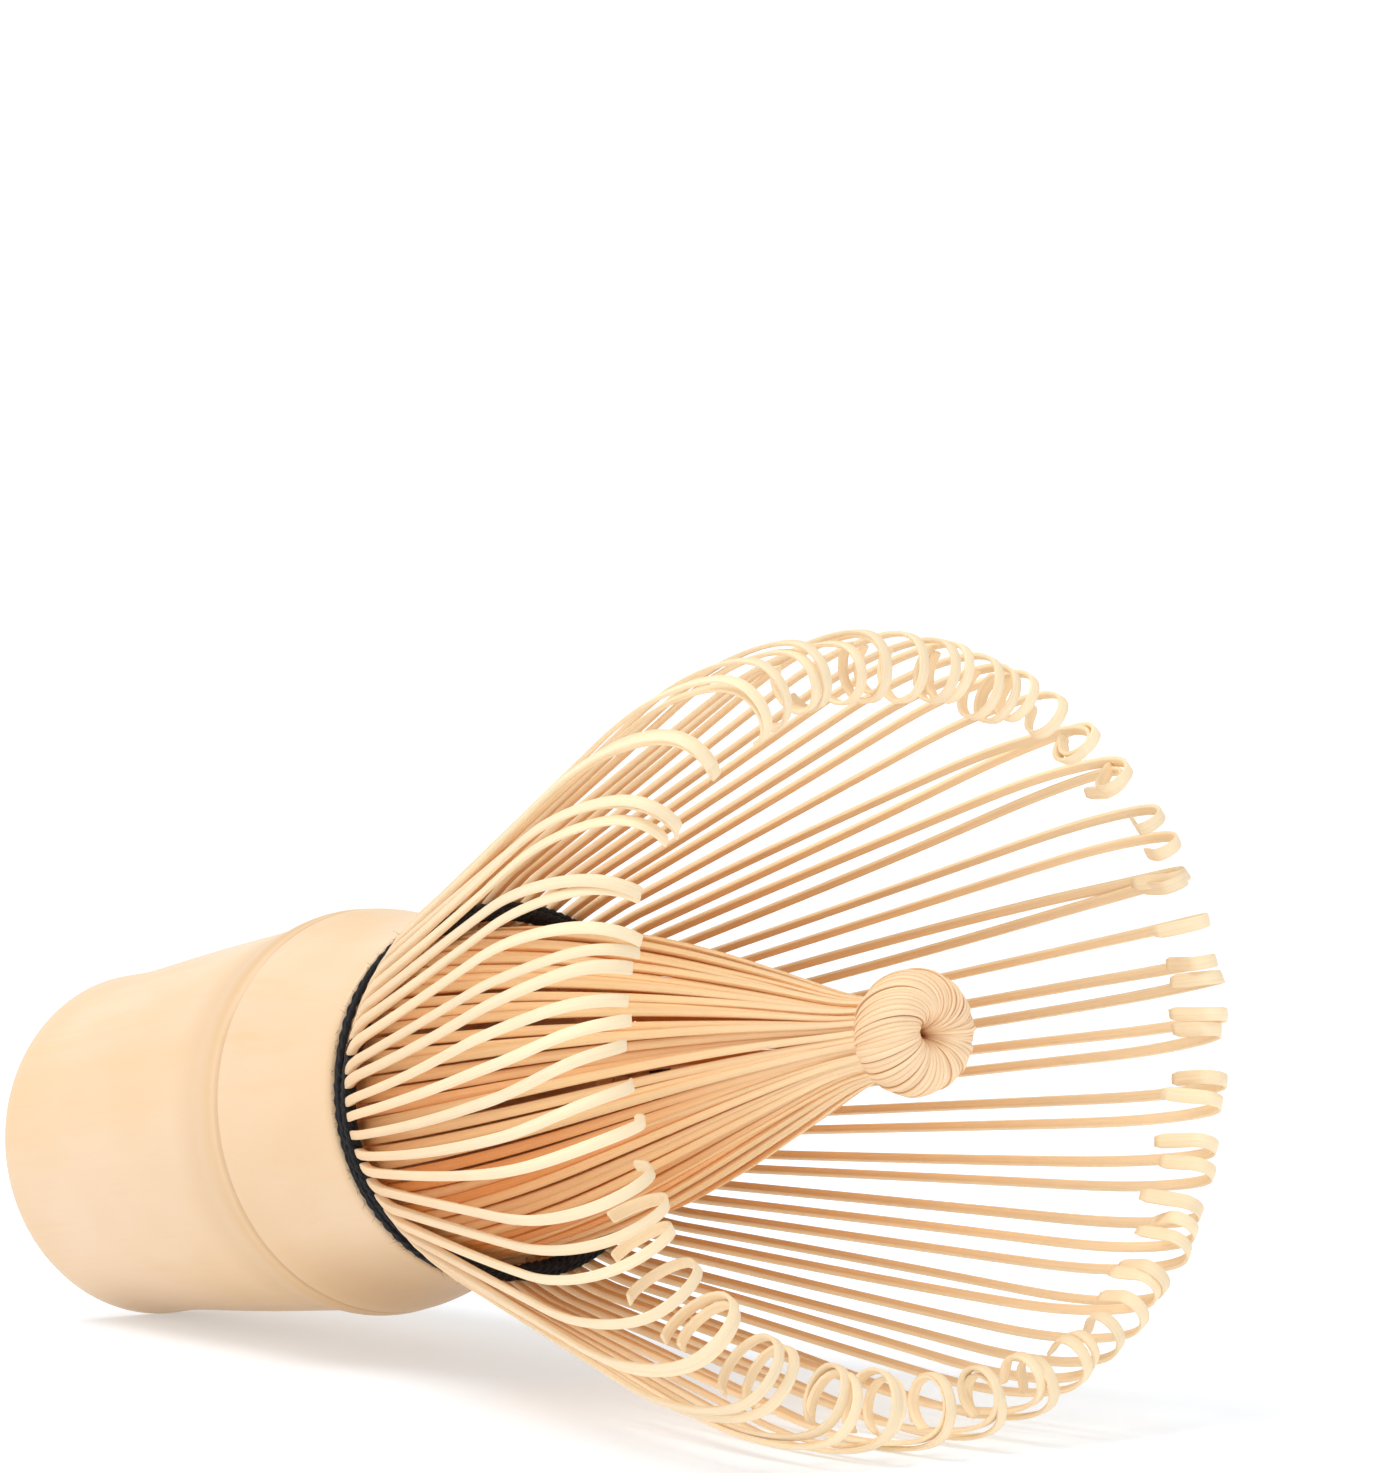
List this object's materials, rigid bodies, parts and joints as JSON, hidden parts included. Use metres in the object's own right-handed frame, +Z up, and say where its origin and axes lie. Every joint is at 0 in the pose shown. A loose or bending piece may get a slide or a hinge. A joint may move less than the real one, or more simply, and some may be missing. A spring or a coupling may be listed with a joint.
{
  "type": "bamboo tea whisk",
  "caption": "Bamboo whisk for powdered tea: hollow handle with a node ring, flared ring of curled outer tines, inner cone of tines twisted into a knot, black thread binding.",
  "frame": {"origin": "centre of the bounding box in plan, on the table that the whisk lies on", "axes": "+X along the whisk in plan, from the handle to the tips of the tines; +Z up; the whisk's own axis rises towards the tips"},
  "size_m": [0.115, 0.0604, 0.0602],
  "materials": {
    "bamboo_handle": "smooth natural bamboo skin, satin",
    "bamboo_outer_tines": "split bamboo, pale, fine straight grain",
    "bamboo_inner_tines": "split bamboo, warmer tan, fine straight grain",
    "black_thread": "twisted cotton thread, matt black"
  },
  "bodies": {
    "root": {"handle": "bamboo_handle", "outer_tines_01": "bamboo_outer_tines", "outer_tines_02": "bamboo_outer_tines", "outer_tines_03": "bamboo_outer_tines", "outer_tines_04": "bamboo_outer_tines", "outer_tines_05": "bamboo_outer_tines", "outer_tines_06": "bamboo_outer_tines", "outer_tines_07": "bamboo_outer_tines", "outer_tines_08": "bamboo_outer_tines", "outer_tines_09": "bamboo_outer_tines", "outer_tines_10": "bamboo_outer_tines", "outer_tines_11": "bamboo_outer_tines", "outer_tines_12": "bamboo_outer_tines", "outer_tines_13": "bamboo_outer_tines", "outer_tines_14": "bamboo_outer_tines", "outer_tines_15": "bamboo_outer_tines", "inner_tines_01": "bamboo_inner_tines", "inner_tines_02": "bamboo_inner_tines", "inner_tines_03": "bamboo_inner_tines", "inner_tines_04": "bamboo_inner_tines", "inner_tines_05": "bamboo_inner_tines", "inner_tines_06": "bamboo_inner_tines", "inner_tines_07": "bamboo_inner_tines", "inner_tines_08": "bamboo_inner_tines", "inner_tines_09": "bamboo_inner_tines", "inner_tines_10": "bamboo_inner_tines", "inner_tines_11": "bamboo_inner_tines", "inner_tines_12": "bamboo_inner_tines", "inner_tines_13": "bamboo_inner_tines", "inner_tines_14": "bamboo_inner_tines", "inner_tines_15": "bamboo_inner_tines", "inner_tine_knot": "bamboo_inner_tines", "outer_thread": "black_thread", "inner_thread": "black_thread"}
  },
  "joints": []
}
